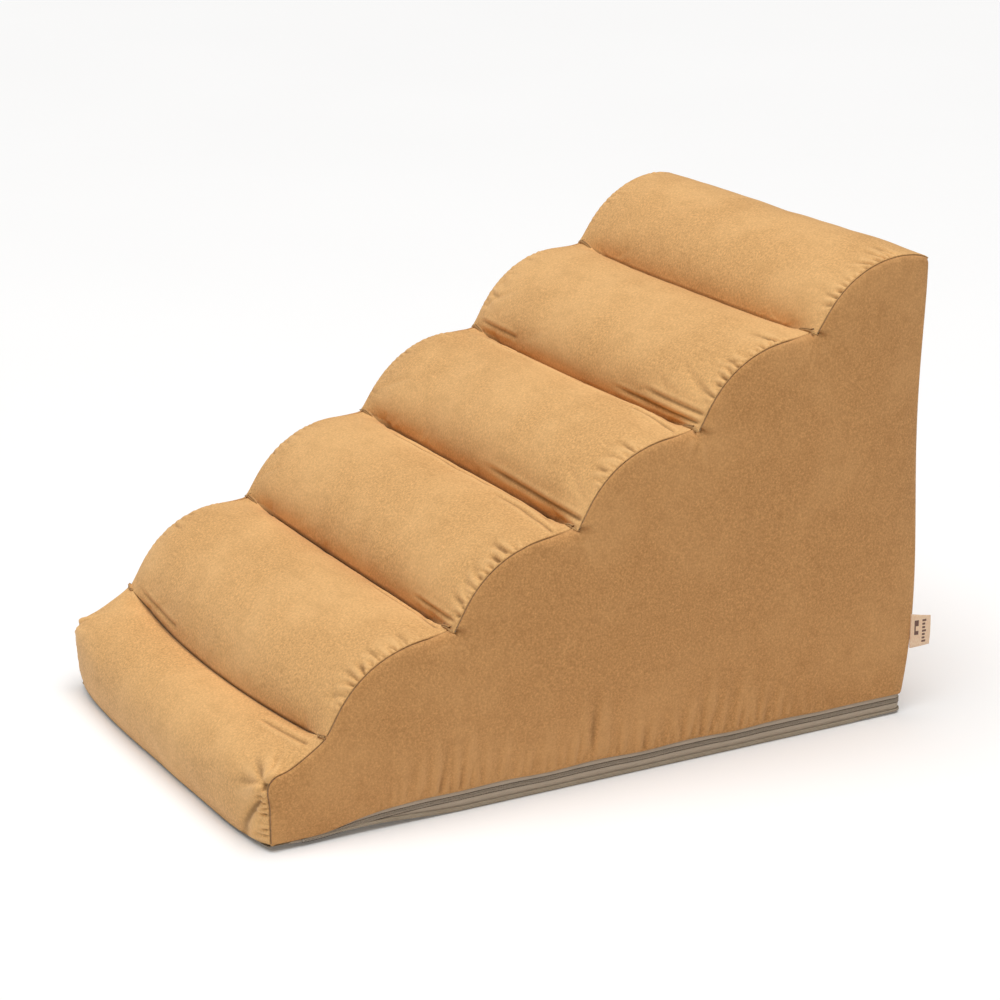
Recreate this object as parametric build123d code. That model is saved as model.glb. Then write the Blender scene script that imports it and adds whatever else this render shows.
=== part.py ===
from build123d import *
import os
from math import atan2, degrees, hypot, sqrt

# A set of foam pet steps: one contour-cut foam block in a sewn cover that zips on to its base
# cloth. Millimetres. +Z is up, the low front end is at -Y and the upright back is at +Y. The
# origin is on the floor, at the middle of the block.

# Whole block
overall_length = 700.0
overall_width = 455.0
overall_height = 463.0  # floor to the crown of the top tread
tread_count = 5

# Low front end
foot_depth = 62.0  # front face to the first valley
foot_height = 64.0  # front face, floor to edge
foot_edge_radius = 14.0
first_valley_height = 96.0

# Treads: each rises from its valley on one arc to a crown, then runs level to the next valley
tread_level_run = 28.0
top_tread_depth = 130.0  # last valley to the back
top_tread_rise = 67.0  # last valley to the crown
top_crown_setback = 95.0  # last valley to the crown, level

# Cloth
cover_cloth = 2.0
base_cloth = 2.0
base_lip_height = 5.0  # how far the base cloth turns up at the sides and the back
opening_gap = 0.3  # between what opens and what stays on the floor

# Zip, round both sides and the back
zip_setback = 20.0  # front face to the front end of the tapes
tape_thickness = 0.7
lower_tape_reveal = 7.0
upper_tape_reveal = 5.5
coil_width = 1.5  # one half of the chain
coil_gap = 1.0  # between the two halves, where the slider's post runs
chain_setback = 34.0  # front face to the bottom stop
stop_length = 2.6
stop_width = 2.2

# Slider on the left side, drawn to its closed end
slider_setback = 62.0  # front face to the slider's middle when closed
slider_length = 11.0
slider_height = 8.4
slider_plate = 1.0
slider_clearance = 0.25  # each side of the tape and coil, between the plates
slider_travel = 560.0
post_length = 3.0
post_thickness = 0.5
foam_clearance = 0.5  # from the slider's inner plate to the foam
bridge_length = 5.4
bridge_width = 1.4
bridge_wall = 0.7
pin_radius = 0.5
pin_clearance = 0.3

# Pull on the slider
pull_length = 28.0
pull_width = 6.4
pull_thickness = 1.0
pull_window_length = 4.2
pull_window_width = 2.6
pull_corner_radius = 2.6

# Woven label in the right rear seam
label_length = 20.0
label_height = 35.0
label_bottom = 66.0
label_thickness = 1.0
label_clearance = 0.4  # from its root to the back

# Places that follow from the sizes above
half_width = overall_width / 2
front = -overall_length / 2
back = overall_length / 2
upper_bottom = base_cloth + opening_gap
lower_coil_bottom = base_lip_height + lower_tape_reveal
lower_coil_top = lower_coil_bottom + coil_width
upper_coil_bottom = lower_coil_top + coil_gap
upper_coil_top = upper_coil_bottom + coil_width
panel_bottom = upper_coil_top + upper_tape_reveal
chain_middle = (lower_coil_top + upper_coil_bottom) / 2
coil_depth = cover_cloth - tape_thickness
tread_pitch = (overall_length - foot_depth - top_tread_depth) / (tread_count - 1)
tread_rise = (overall_height - top_tread_rise - first_valley_height) / (tread_count - 1)


def tread_arc(number):
    """Centre and radius of the arc that climbs from a valley to its crown."""
    valley_y = front + foot_depth + (number - 1) * tread_pitch
    valley_z = first_valley_height + (number - 1) * tread_rise
    if number < tread_count:
        setback, rise = tread_pitch - tread_level_run, tread_rise
    else:
        setback, rise = top_crown_setback, top_tread_rise
    radius = (setback**2 + rise**2) / (2 * rise)
    return valley_y + setback, valley_z + rise - radius, radius


def foot_corner(inset):
    """Front edge of the foot, where the front face meets the slope."""
    run, climb = foot_depth, first_valley_height - foot_height
    drop = inset * hypot(run, climb) / run
    return front + inset, foot_height - drop + inset * climb / run


def valley_point(number, inset):
    """Where the stretch before a valley meets the arc after it, inset from the outside."""
    centre_y, centre_z, radius = tread_arc(number)
    if number == 1:
        start_y, start_z = foot_corner(inset)
        run, climb = foot_depth, first_valley_height - foot_height
    else:
        start_y, start_z = crown_point(number - 1, inset)
        run, climb = 1.0, 0.0
    length = hypot(run, climb)
    step_y, step_z = run / length, climb / length
    away_y, away_z = start_y - centre_y, start_z - centre_z
    along = away_y * step_y + away_z * step_z
    reach = along**2 - (away_y**2 + away_z**2 - (radius - inset) ** 2)
    distance = -along - sqrt(reach)
    return start_y + distance * step_y, start_z + distance * step_z


def crown_point(number, inset):
    centre_y, centre_z, radius = tread_arc(number)
    return centre_y, centre_z + radius - inset


def back_top(inset):
    """Top rear corner, where the top tread's arc reaches the back."""
    centre_y, centre_z, radius = tread_arc(tread_count)
    reach = back - inset - centre_y
    return back - inset, centre_z + sqrt((radius - inset) ** 2 - reach**2)


def arc_edge(number, inset, start, end):
    centre_y, centre_z, radius = tread_arc(number)
    start_angle = degrees(atan2(start[1] - centre_z, start[0] - centre_y))
    end_angle = degrees(atan2(end[1] - centre_z, end[0] - centre_y))
    return CenterArc((centre_y, centre_z), radius - inset, start_angle, end_angle - start_angle)


def tread_edges(number, inset):
    """Outline of one tread, from its valley to the next one or to the back."""
    start = valley_point(number, inset)
    if number == tread_count:
        return [arc_edge(number, inset, start, back_top(inset))]
    crown = crown_point(number, inset)
    level = Line(crown, valley_point(number + 1, inset))
    return [arc_edge(number, inset, start, crown), level]


def foot_edges(inset, bottom):
    """Outline of the front face and the slope behind it, up to the first valley."""
    corner = foot_corner(inset)
    points = [(front + inset, bottom), corner, valley_point(1, inset)]
    return [FilletPolyline(*points, radius=foot_edge_radius - inset)]


def ends_of(edges):
    return edges[0] @ 0, edges[-1] @ 1


def across(edges, half_span):
    """Closed side outline, drawn out to both sides of the middle."""
    wires = Wire(edge for curve in edges for edge in curve.edges())
    face = Plane.YZ * Face(wires)
    return extrude(face, amount=half_span, both=True)


def strip(outer, inner):
    """Cloth between an outer and an inner outline, as wide as the block between its sides."""
    outer_start, outer_end = ends_of(outer)
    inner_start, inner_end = ends_of(inner)
    closing = [Line(outer_end, inner_end), Line(inner_start, outer_start)]
    return across(outer + inner + closing, half_width - cover_cloth)


def block(x_range, y_range, z_range):
    size = [high - low for low, high in (x_range, y_range, z_range)]
    middle = [(high + low) / 2 for low, high in (x_range, y_range, z_range)]
    return Pos(*middle) * Box(*size)


def band(outer_depth, inner_depth, start_y, z_range):
    """Upright strip round both sides and the back, between two depths from the outside."""
    reach = half_width - outer_depth
    room = half_width - inner_depth
    whole = block((-reach, reach), (start_y, back - outer_depth), z_range)
    return whole - block((-room, room), (start_y - 1, back - inner_depth), z_range)


def outline(inset, bottom):
    """Front, slope and every tread, from the front's lower edge to the top of the back."""
    edges = foot_edges(inset, bottom)
    for number in range(1, tread_count + 1):
        edges += tread_edges(number, inset)
    return edges


def foam_core():
    """The block, with a rabbet low on the left side that the slider's inner plate runs in."""
    edges = outline(cover_cloth, upper_bottom)
    start, top = ends_of(edges)
    heel = (back - cover_cloth, upper_bottom)
    core = across(edges + [Line(top, heel), Line(heel, start)], half_width - cover_cloth)
    slider_middle = front + slider_setback
    room = slider_length / 2 + foam_clearance
    depth = cover_cloth + slider_clearance + slider_plate + foam_clearance
    rabbet = block(
        (-half_width, -half_width + depth),
        (slider_middle - room, slider_middle + slider_travel + room),
        (0, chain_middle + slider_height / 2 + foam_clearance),
    )
    return core - rabbet


def foot_panel():
    return strip(foot_edges(0, upper_bottom), foot_edges(cover_cloth, upper_bottom))


def tread_panel(number):
    return strip(tread_edges(number, 0), tread_edges(number, cover_cloth))


def back_panel():
    heel_out, heel_in = (back, panel_bottom), (back - cover_cloth, panel_bottom)
    corners = [heel_in, heel_out, back_top(0), back_top(cover_cloth)]
    sides = [Line(a, b) for a, b in zip(corners, corners[1:] + corners[:1])]
    return across(sides, half_width - cover_cloth)


def side_panel(side):
    """Flat side: the block's outline above the zip, and down to the floor in front of it."""
    edges = outline(0, upper_bottom)
    start, top = ends_of(edges)
    tape_end = front + zip_setback
    corners = [top, (back, panel_bottom), (tape_end, panel_bottom), (tape_end, upper_bottom), start]
    edges += [Line(a, b) for a, b in zip(corners, corners[1:])]
    sheet = across(edges, cover_cloth / 2)
    return Pos(side * (half_width - cover_cloth / 2), 0, 0) * sheet


def base_panel():
    """Base cloth, turned up against the block at the sides and the back."""
    sheet = block((-half_width, half_width), (front, back), (0, base_cloth))
    start_y = front + zip_setback + opening_gap
    z_range = (base_cloth, base_lip_height)
    return sheet + band(cover_cloth - base_cloth, cover_cloth, start_y, z_range)


def lower_tape():
    start_y = front + zip_setback + opening_gap
    return band(coil_depth, cover_cloth, start_y, (base_lip_height, lower_coil_top))


def upper_tape():
    return band(coil_depth, cover_cloth, front + zip_setback, (upper_coil_bottom, panel_bottom))


def coil(z_range):
    """One half of the chain, from the bottom stop on the right to the top stop on the left."""
    whole = band(0, coil_depth, front + chain_setback, z_range)
    spare = (front + chain_setback - 1, front + top_stop_setback())
    return whole - block((-half_width - 1, 0), spare, (0, panel_bottom))


def top_stop_setback():
    """Front face to the closed end of the chain, in front of the slider."""
    return slider_setback - slider_length / 2 - slider_clearance


def bottom_stop():
    end = front + chain_setback
    x_range = (half_width - coil_depth, half_width)
    z_range = (lower_coil_bottom, lower_coil_bottom + stop_width)
    return block(x_range, (end - stop_length, end), z_range)


def top_stop(z_range):
    end = front + top_stop_setback()
    return block((-half_width, -half_width + coil_depth), (end - stop_length, end), z_range)


def plate_face():
    """Outer face of the slider's outer plate, measured from the block's middle."""
    return half_width + slider_clearance + slider_plate


def slider_body():
    """Two plates and the post between them, with the bridge that carries the pull."""
    middle_y = front + slider_setback
    y_range = (middle_y - slider_length / 2, middle_y + slider_length / 2)
    z_range = (chain_middle - slider_height / 2, chain_middle + slider_height / 2)
    inner_face = half_width - cover_cloth - slider_clearance
    outer_plate = block((-plate_face(), -plate_face() + slider_plate), y_range, z_range)
    inner_plate = block((-inner_face, -inner_face + slider_plate), y_range, z_range)
    corner = slider_height / 4
    outer_plate = fillet(outer_plate.edges().filter_by(Axis.X), corner)
    inner_plate = fillet(inner_plate.edges().filter_by(Axis.X), corner)
    post = block(
        (-plate_face() + slider_plate, -inner_face),
        (y_range[0] + corner, y_range[0] + corner + post_length),
        (chain_middle - post_thickness / 2, chain_middle + post_thickness / 2),
    )
    return outer_plate + post + inner_plate + slider_bridge()


def pivot_stand_off():
    """Outer plate's face to the middle of the pull's cross bar."""
    return pin_radius + pin_clearance


def slider_bridge():
    middle_y = front + slider_setback
    height = pivot_stand_off() + pin_radius + pin_clearance + bridge_wall
    arch = block(
        (-plate_face() - height, -plate_face()),
        (middle_y - bridge_length / 2, middle_y + bridge_length / 2),
        (chain_middle - bridge_width / 2, chain_middle + bridge_width / 2),
    )
    ends = arch.edges().filter_by(Axis.Z).sort_by(Axis.X)[:2]
    arch = fillet(ends, bridge_wall)
    eye = Cylinder(pin_radius + pin_clearance, bridge_width + 1)
    return arch - Pos(-plate_face() - pivot_stand_off(), middle_y, chain_middle) * eye


def pull_tab():
    """Flat pull whose cross bar turns in the bridge. It lies forward along the cover."""
    pivot_x = -plate_face() - pivot_stand_off()
    middle_y = front + slider_setback - pull_length / 2 + pin_radius
    plate = RectangleRounded(pull_length, pull_width, pull_corner_radius)
    window = Rectangle(pull_window_length, pull_window_width)
    window_shift = (pull_length - pull_window_length) / 2 - 2 * pin_radius
    face = plate - Pos(window_shift, 0) * window
    tab = extrude(Plane.YZ * face, amount=pull_thickness / 2, both=True)
    return Pos(pivot_x, middle_y, chain_middle) * tab


def side_label():
    """Folded ribbon, with a round root at the line that it folds on."""
    middle_x = half_width - cover_cloth / 2
    root_y = back + label_clearance + label_thickness / 2
    x_range = (middle_x - label_thickness / 2, middle_x + label_thickness / 2)
    z_range = (label_bottom, label_bottom + label_height)
    flat = block(x_range, (root_y, root_y + label_length), z_range)
    root = Cylinder(label_thickness / 2, label_height)
    return flat + Pos(middle_x, root_y, label_bottom + label_height / 2) * root


def write(name, shape):
    shape.label = name
    export_step(shape, f"parts/{name}.step")


os.makedirs("parts", exist_ok=True)
write("foam_core", foam_core())
write("foot_panel", foot_panel())
for tread in range(1, tread_count + 1):
    write(f"tread_panel_{tread}", tread_panel(tread))
write("back_panel", back_panel())
write("side_panel_left", side_panel(-1))
write("side_panel_right", side_panel(1))
write("base_panel", base_panel())
write("zip_tape_lower", lower_tape())
write("zip_tape_upper", upper_tape())
write("zip_coil_lower", coil((lower_coil_bottom, lower_coil_top)))
write("zip_coil_upper", coil((upper_coil_bottom, upper_coil_top)))
write("zip_bottom_stop", bottom_stop())
write("zip_top_stop_lower", top_stop((lower_coil_top - stop_width, lower_coil_top)))
write("zip_top_stop_upper", top_stop((upper_coil_bottom, upper_coil_bottom + stop_width)))
write("zip_slider_body", slider_body())
write("zip_pull_tab", pull_tab())
write("side_label", side_label())
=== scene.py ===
import bpy
import math
import numpy as np
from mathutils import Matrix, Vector, noise
from mathutils.geometry import delaunay_2d_cdt


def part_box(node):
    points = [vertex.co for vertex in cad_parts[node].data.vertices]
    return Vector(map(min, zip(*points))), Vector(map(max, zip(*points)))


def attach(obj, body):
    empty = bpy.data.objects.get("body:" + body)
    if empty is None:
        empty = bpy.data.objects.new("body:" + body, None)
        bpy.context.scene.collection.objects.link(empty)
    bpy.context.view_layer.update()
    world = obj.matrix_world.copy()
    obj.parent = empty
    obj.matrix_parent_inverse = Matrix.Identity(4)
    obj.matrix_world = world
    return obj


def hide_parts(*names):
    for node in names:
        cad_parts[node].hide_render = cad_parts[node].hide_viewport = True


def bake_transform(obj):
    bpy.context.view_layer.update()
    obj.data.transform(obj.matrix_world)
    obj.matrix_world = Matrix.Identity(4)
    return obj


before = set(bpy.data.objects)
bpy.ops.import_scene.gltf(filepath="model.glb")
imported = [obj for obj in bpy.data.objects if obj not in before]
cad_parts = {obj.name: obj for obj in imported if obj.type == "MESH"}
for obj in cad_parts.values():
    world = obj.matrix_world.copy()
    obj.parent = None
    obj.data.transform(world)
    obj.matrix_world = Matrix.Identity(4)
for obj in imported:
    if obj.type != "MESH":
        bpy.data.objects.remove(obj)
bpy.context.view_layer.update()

# where the block's own lines run, taken from the frame
treadBoxes = [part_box(f"tread_panel_{n}") for n in range(1, 6)]
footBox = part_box("foot_panel")
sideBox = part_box("side_panel_right")
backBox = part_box("back_panel")
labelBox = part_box("side_label")

halfWidth = sideBox[1].x
frontY = sideBox[0].y
backY = sideBox[1].y
floorSeamZ = sideBox[0].z
valleyY = [low.y for low, high in treadBoxes]
crownZ = [high.z for low, high in treadBoxes]
valleyZ = [footBox[1].z] + crownZ[:4]
backTopZ = backBox[1].z
bandTopZ = backBox[0].z

blockShape = dict(
    footFace=0.064,        # front face, floor to edge
    footRound=0.022,       # soft roll where the face turns into the first step
    levelRun=0.028,        # flat stretch behind each crown
    topSetback=0.095,      # last valley to the top crown
    grain=0.0036,          # spacing of the cloth's mesh along the outline
    frontSwell=0.010,      # how far the front face swells in the middle
    sideSwell=0.007,
    backSwell=0.004,
)


clothThickness = 0.0012    # suede and base canvas
fineStep = 0.0005          # how closely the outline is first drawn
farOff = 9.0               # stands for no neighbour


# 0 below low, 1 above high, eased between
def smooth(value, low, high):
    t = np.clip((np.asarray(value, float) - low) / (high - low), 0, 1)
    return t * t * (3 - 2 * t)


# a bell curve, 1 at the middle
def bell(value, middle, width):
    return np.exp(-((value - middle) / width) ** 2)


# 0 at an edge and near 1 well away from it
def swelling(away, reach):
    return 1 - np.exp(-away / reach)


# a least value and what chance may add
def chance(dice, least, more):
    return least + more * dice.random()


def lineRun(start, end):
    count = max(2, int(math.dist(start, end) / fineStep))
    t = np.linspace(0, 1, count)[:, None]
    return np.array(start) * (1 - t) + np.array(end) * t


def arcRun(centre, radius, fromAngle, toAngle):
    count = max(2, int(abs(toAngle - fromAngle) * radius / fineStep))
    angle = np.linspace(fromAngle, toAngle, count)
    return np.array(centre) + radius * np.stack([np.cos(angle), np.sin(angle)], 1)


def footRun():
    roll, faceTop = blockShape["footRound"], blockShape["footFace"]
    slope = math.atan2(valleyZ[0] - faceTop, valleyY[0] - frontY)
    rollStart = faceTop - roll * math.tan((math.pi / 2 - slope) / 2)
    centre = (frontY + roll, rollStart)
    arc = arcRun(centre, roll, math.pi, math.pi / 2 + slope)
    face = lineRun((frontY, floorSeamZ), (frontY, rollStart))
    step = lineRun(tuple(arc[-1]), (valleyY[0], valleyZ[0]))
    return np.concatenate([face, arc[1:], step[1:]])


# arc from a valley to its crown, then the level run to the next valley
def treadRun(number):
    y, z = valleyY[number], valleyZ[number]
    if number < 4:
        setback = valleyY[number + 1] - y - blockShape["levelRun"]
    else:
        setback = blockShape["topSetback"]
    rise = crownZ[number] - z
    radius = (setback ** 2 + rise ** 2) / (2 * rise)
    centre = (y + setback, z + rise - radius)
    startAngle = math.atan2(z - centre[1], y - centre[0])
    if number == 4:
        endAngle = math.acos((backY - centre[0]) / radius)
        return arcRun(centre, radius, startAngle, endAngle)
    arc = arcRun(centre, radius, startAngle, math.pi / 2)
    level = lineRun(tuple(arc[-1]), (valleyY[number + 1], crownZ[number]))
    return np.concatenate([arc, level[1:]])


# distances along a run, close together at both ends where the seams are
def gradedSteps(length, step, fine=(0.0012, 0.0018, 0.0026)):
    ends = np.cumsum(fine)
    middle = length - 2 * ends[-1]
    count = max(2, int(round(middle / step)))
    inner = ends[-1] + np.arange(count + 1) * middle / count
    return np.concatenate([[0], ends[:-1], inner, length - ends[:-1][::-1], [length]])


# the side outline as evenly spaced points, with what each point knows of its run
def outlineOf(step):
    points, segment, after, before = [], [], [], []
    runs = [footRun()] + [treadRun(n) for n in range(5)]
    for number, run in enumerate(runs):
        along = np.concatenate([[0], np.cumsum(np.linalg.norm(np.diff(run, axis=0), axis=1))])
        places = gradedSteps(along[-1], step)
        if number:
            places = places[1:]
        points.append(np.stack([np.interp(places, along, run[:, k]) for k in (0, 1)], 1))
        segment += [number] * len(places)
        after += list(places)
        before += list(along[-1] - places)
    points = np.concatenate(points)
    return dict(points=points, segment=np.array(segment), after=np.array(after),
                before=np.array(before))


def outlineNormals(points):
    ahead = np.diff(points, axis=0)
    ahead /= np.linalg.norm(ahead, axis=1)[:, None]
    tangent = np.concatenate([ahead[:1], ahead[:-1] + ahead[1:], ahead[-1:]])
    tangent /= np.linalg.norm(tangent, axis=1)[:, None]
    return np.stack([-tangent[:, 1], tangent[:, 0]], 1)


# what the cloth does in each valley: how deep its fold is, and where the line sags to
valleyFolds = [
    dict(depth=0.0040, width=0.010, sag=(-0.011, -0.012), roll=0.0010),
    dict(depth=0.0050, width=0.008, sag=(0.002, -0.003), roll=0.0022),
    dict(depth=0.0075, width=0.009, sag=(0.005, -0.003), roll=0.0032),
    dict(depth=0.0070, width=0.008, sag=(-0.005, -0.002), roll=0.0032),
    dict(depth=0.0035, width=0.008, sag=(-0.004, -0.002), roll=0.0018),
]


# smooth wander from -1 to 1 over many points
def slowNoise(points, size, seed):
    shift = Vector((seed * 7.31, seed * 3.17, seed * 1.93))
    return np.array([noise.noise(Vector(p) / size + shift) for p in points.reshape(-1, 3)])


# how far the back seam stands in from the back at a few heights: a waist, and a tuck at the floor
rearHeights = [0.008, 0.044, 0.075, 0.114, 0.279, 0.349, 0.388, 0.426, 0.457]
rearInsets = [0.020, 0.014, 0.009, 0.008, 0.012, 0.012, 0.010, 0.008, 0.008]
rearCurve = np.polyfit(rearHeights, rearInsets, 5)


def rearEdge(height):
    return backY - np.polyval(rearCurve, np.asarray(height, float))


# how high the suede's lower edge runs along the side, front to back
bandRuns = np.array([0, 0.030, 0.050, 0.062, 0.077, 0.092, 0.115, 0.150, 0.720])
bandHeights = np.array([0.0078, 0.0076, 0.0078, 0.0092, 0.0125, 0.0155, 0.0185, 0.0202, 0.0206])


# lower edge of the suede: near the floor at the front, then above the zip
def bandLine(y, sign=1):
    run = np.asarray(y) - frontY
    if sign < 0:
        run = run * 3.2    # the left side climbs sooner, where the zip closes
    ripple = 0.0008 * np.sin(run * 61) * (sign > 0)
    ripple = ripple * smooth(run, 0.15, 0.25) * (1 - smooth(run, 0.5, 0.66))
    shifts = (-0.008, -0.004, 0, 0.004, 0.008)
    return sum(np.interp(run + shift, bandRuns, bandHeights) for shift in shifts) / 5 + ripple


topShape = dict(
    inset=0.0016,           # how far the side seams stand in
    shoulderInset=0.0085,   # and how much more on the way up to a valley
    shoulderReach=0.034,
    innerReach=0.055,       # from a side seam to where the folds are whole
    puff=0.0045,            # swell between two valleys
    topPuff=0.0015,         # and of the last tread
    puffReach=0.022,
    sagReach=0.050,
    valleyEnds=0.0045,      # a valley's ends stand up at the side seams
    lowRoll=(0.019, 0.010),    # where the cloth rolls below a valley, and how widely
    highRoll=(0.030, 0.014),   # and above it
    wander=((0.0016, 0.11, 3), (0.0009, 0.045, 8)),   # height, size and seed of slow dents
    cornerRise=(0.0045, 0.0020),    # at the foot's right and left top corners
    leftRound=(0.004, 0.014),       # how the front corners are rounded: depth, reach
    rightRound=(0.003, 0.008),
    cornerLift=0.0055,              # its lower corners stand off the floor
)


# every point of the foot and the treads, as one sheet of rows and columns
def topSkin(outline, columns):
    shape = topShape
    points, segment = outline["points"], outline["segment"][:, None]
    after, before = outline["after"][:, None], outline["before"][:, None]
    normal = outlineNormals(points)
    wide = columns[None, :] / halfWidth
    toRight, toLeft = halfWidth - columns[None, :], halfWidth + columns[None, :]
    shoulder = bell(before, 0, shape["shoulderReach"]) * (segment > 0) * (segment < 5)
    x = columns[None, :] * (1 - (shape["inset"] + shape["shoulderInset"] * shoulder) / halfWidth)
    y = points[:, :1] + np.zeros_like(x)
    z = points[:, 1:] + np.zeros_like(x)
    edge = halfWidth - np.abs(columns)[None, :]
    inner = smooth(edge, 0.0, shape["innerReach"])
    puff = np.where(segment == 5, shape["topPuff"], shape["puff"])
    rise = puff * swelling(edge, shape["puffReach"]) * smooth(before, 0, 0.02) * smooth(after, 0, 0.02)
    bow = (1 - wide ** 2) ** 0.75
    for number, fold in enumerate(valleyFolds):
        # distance from this valley along the cloth, on its low side and on its high side
        low = np.where(segment == number, before, farOff)
        high = np.where(segment == number + 1, after, farOff)
        away = np.minimum(low, high)
        sag = bow * (1 - 0.22 * wide) * bell(away, 0, shape["sagReach"])
        y += fold["sag"][0] * sag
        z += fold["sag"][1] * sag
        deep = fold["depth"] * inner - shape["valleyEnds"] * (1 - inner)
        rise -= deep * np.exp(-away / fold["width"])
        rise += fold["roll"] * inner * bell(low, *shape["lowRoll"])
        rise += 0.6 * fold["roll"] * inner * bell(high, *shape["highRoll"])
    foot = segment == 0
    corner = bell(before, valleyY[0] - frontY + 0.004, 0.013) * foot
    rise += corner * (shape["cornerRise"][0] * bell(toRight, 0, 0.022)
                      + shape["cornerRise"][1] * bell(toLeft, 0, 0.022))
    stack = np.stack([x, y, z], 2)
    dents = sum(depth * slowNoise(stack, size, seed) for depth, size, seed in shape["wander"])
    rise += dents.reshape(x.shape) * inner
    y += normal[:, :1] * rise
    z += normal[:, 1:] * rise
    # front face swells, and its left corner is rounder than its right
    height = points[:, 1:]
    swell = bell(height, 0.026, 0.040) * (1 - np.abs(wide) ** 3) ** 0.8
    y -= foot * blockShape["frontSwell"] * swell
    rounding = (shape["leftRound"][0] * np.exp(-toLeft / shape["leftRound"][1])
                + shape["rightRound"][0] * np.exp(-toRight / shape["rightRound"][1]))
    y += foot * rounding * (1 - smooth(height, 0.070, 0.092))
    x += foot * 0.010 * np.minimum(wide, 0) * bell(height, 0.055, 0.030)
    z += foot * shape["cornerLift"] * np.abs(wide) ** 5 * (1 - smooth(height, 0.0, 0.06))
    # top of the back settles to the back seam
    y += np.exp(-before / 0.012) * (segment == 5) * (rearEdge(backTopZ) - backY)
    return np.stack([x, y, z], 2)


# the left side of the upper steps sits a little lower and further back
def leanLeft(points):
    share = smooth(-points[..., 0], -0.10, halfWidth) * smooth(points[..., 2], 0.14, 0.34)
    rear = 1 - smooth(points[..., 1], 0.26, backY)
    points[..., 1] += 0.0065 * share * rear
    points[..., 2] -= 0.0050 * share
    points[..., 0] += 0.0040 * share
    return points


# points over a rectangle in staggered rows
def rowsOfPoints(low, high, step):
    rows = []
    for k, height in enumerate(np.arange(low[1], high[1], step * 0.866)):
        along = np.arange(low[0] + (k % 2) * step / 2, high[0], step)
        rows.append(np.stack([along, np.full(len(along), height)], 1))
    return np.concatenate(rows)


sideMesh = dict(
    ring=0.0014, ringGap=0.0009,     # the ring's place, and its least distance from the seams
    foldTop=0.078,                   # fine rows up to here, wider ones above
    lowStep=0.0028, lowGap=0.0029,
    highStep=0.0046, highGap=0.0038,
)


# inner points of a flat side, closer together low down, with a ring just inside its seams
def sidePlanePoints(loop):
    cut = sideMesh
    loop = np.array(loop)
    nextOne, lastOne = np.roll(loop, -1, 0), np.roll(loop, 1, 0)
    along = nextOne - lastOne
    along /= np.linalg.norm(along, axis=1)[:, None]
    area = np.sum(loop[:, 0] * nextOne[:, 1] - nextOne[:, 0] * loop[:, 1])
    inward = np.stack([-along[:, 1], along[:, 0]], 1) * np.sign(area)
    ring = loop + inward * cut["ring"]
    low, high = loop.min(0), loop.max(0)
    ring = ring[pointsInside(ring, loop, cut["ringGap"])]
    lower = rowsOfPoints(low, (high[0], cut["foldTop"]), cut["lowStep"])
    upper = rowsOfPoints((low[0], cut["foldTop"] + 0.0026), high, cut["highStep"])
    lower = lower[pointsInside(lower, loop, cut["lowGap"])]
    upper = upper[pointsInside(upper, loop, cut["highGap"])]
    return np.concatenate([ring, lower, upper])


# how far each point is from the nearest edge of a closed loop
def distanceTo(points, loop):
    start, span = loop, np.roll(loop, -1, 0) - loop
    away = np.full(len(points), farOff)
    for a, d in zip(start, span):
        t = np.clip(((points - a) @ d) / max(d @ d, 1e-12), 0, 1)
        away = np.minimum(away, np.linalg.norm(points - a - t[:, None] * d, axis=1))
    return away


def pointsInside(points, loop, margin):
    inside = np.zeros(len(points), bool)
    nextOne = np.roll(loop, -1, 0)
    for (ay, az), (by, bz) in zip(loop, nextOne):
        if az == bz:
            continue
        crosses = (az > points[:, 1]) != (bz > points[:, 1])
        at = (by - ay) * (points[:, 1] - az) / (bz - az) + ay
        inside ^= crosses & (points[:, 0] < at)
    return inside & (distanceTo(points, loop) > margin)


# places across the width, closer together by the side seams
def columnPlaces():
    nearSeam = np.concatenate([[0, 0.0013, 0.0031], np.arange(0.0056, 0.048, 0.0028)])
    rest = np.linspace(0.048, 2 * halfWidth - 0.048, int((2 * halfWidth - 0.096) / 0.0046))
    return np.concatenate([nearSeam, rest[1:-1], 2 * halfWidth - nearSeam[::-1]]) - halfWidth


sideShape = dict(
    topReach=0.040, lowReach=0.030, rearReach=0.045,   # how soon it swells in from each edge
    rearTuck=(0.0016, 0.003),    # how far it is drawn in along the rear seam, and how widely
    seamLift=0.55,               # where the seam is drawn in, the cloth beside it stands up
    liftReach=0.006,
    dents=0.0012,
)


# swells a flat side: seam is the top outline's (y, z), seamInset how far it is drawn in
def sideSkin(flat, seam, seamInset, sign):
    gap = np.empty(len(flat))
    near = np.empty(len(flat), int)
    for k in range(0, len(flat), 2000):
        away = np.linalg.norm(flat[k:k + 2000, None] - seam[None], axis=2)
        near[k:k + 2000] = away.argmin(1)
        gap[k:k + 2000] = away.min(1)
    inset = seamInset[near]
    low = np.maximum(flat[:, 1] - bandLine(flat[:, 0], sign), 0)
    rear = np.maximum(rearEdge(flat[:, 1]) - flat[:, 0], 0)
    shape = sideShape
    swell = swelling(gap, shape["topReach"]) * swelling(low, shape["lowReach"])
    swell *= swelling(rear, shape["rearReach"])
    swell *= blockShape["sideSwell"] * (0.75 + 0.45 * smooth(rear, 0.05, 0.45))
    x = halfWidth + swell - inset * np.exp(-gap / (0.0030 + 0.50 * np.abs(inset)))
    x -= shape["rearTuck"][0] * np.exp(-rear / shape["rearTuck"][1]) * (gap > 1e-6)
    lift = shape["seamLift"] * np.maximum(inset - 0.003, 0)
    z = flat[:, 1] + lift * (gap / shape["liftReach"]) * np.exp(1 - gap / shape["liftReach"])
    stack = np.stack([sign * x, flat[:, 0], z], 1)
    stack[:, 0] += sign * shape["dents"] * slowNoise(stack, 0.10, 5) * swelling(gap, 0.02)
    return stack


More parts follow.
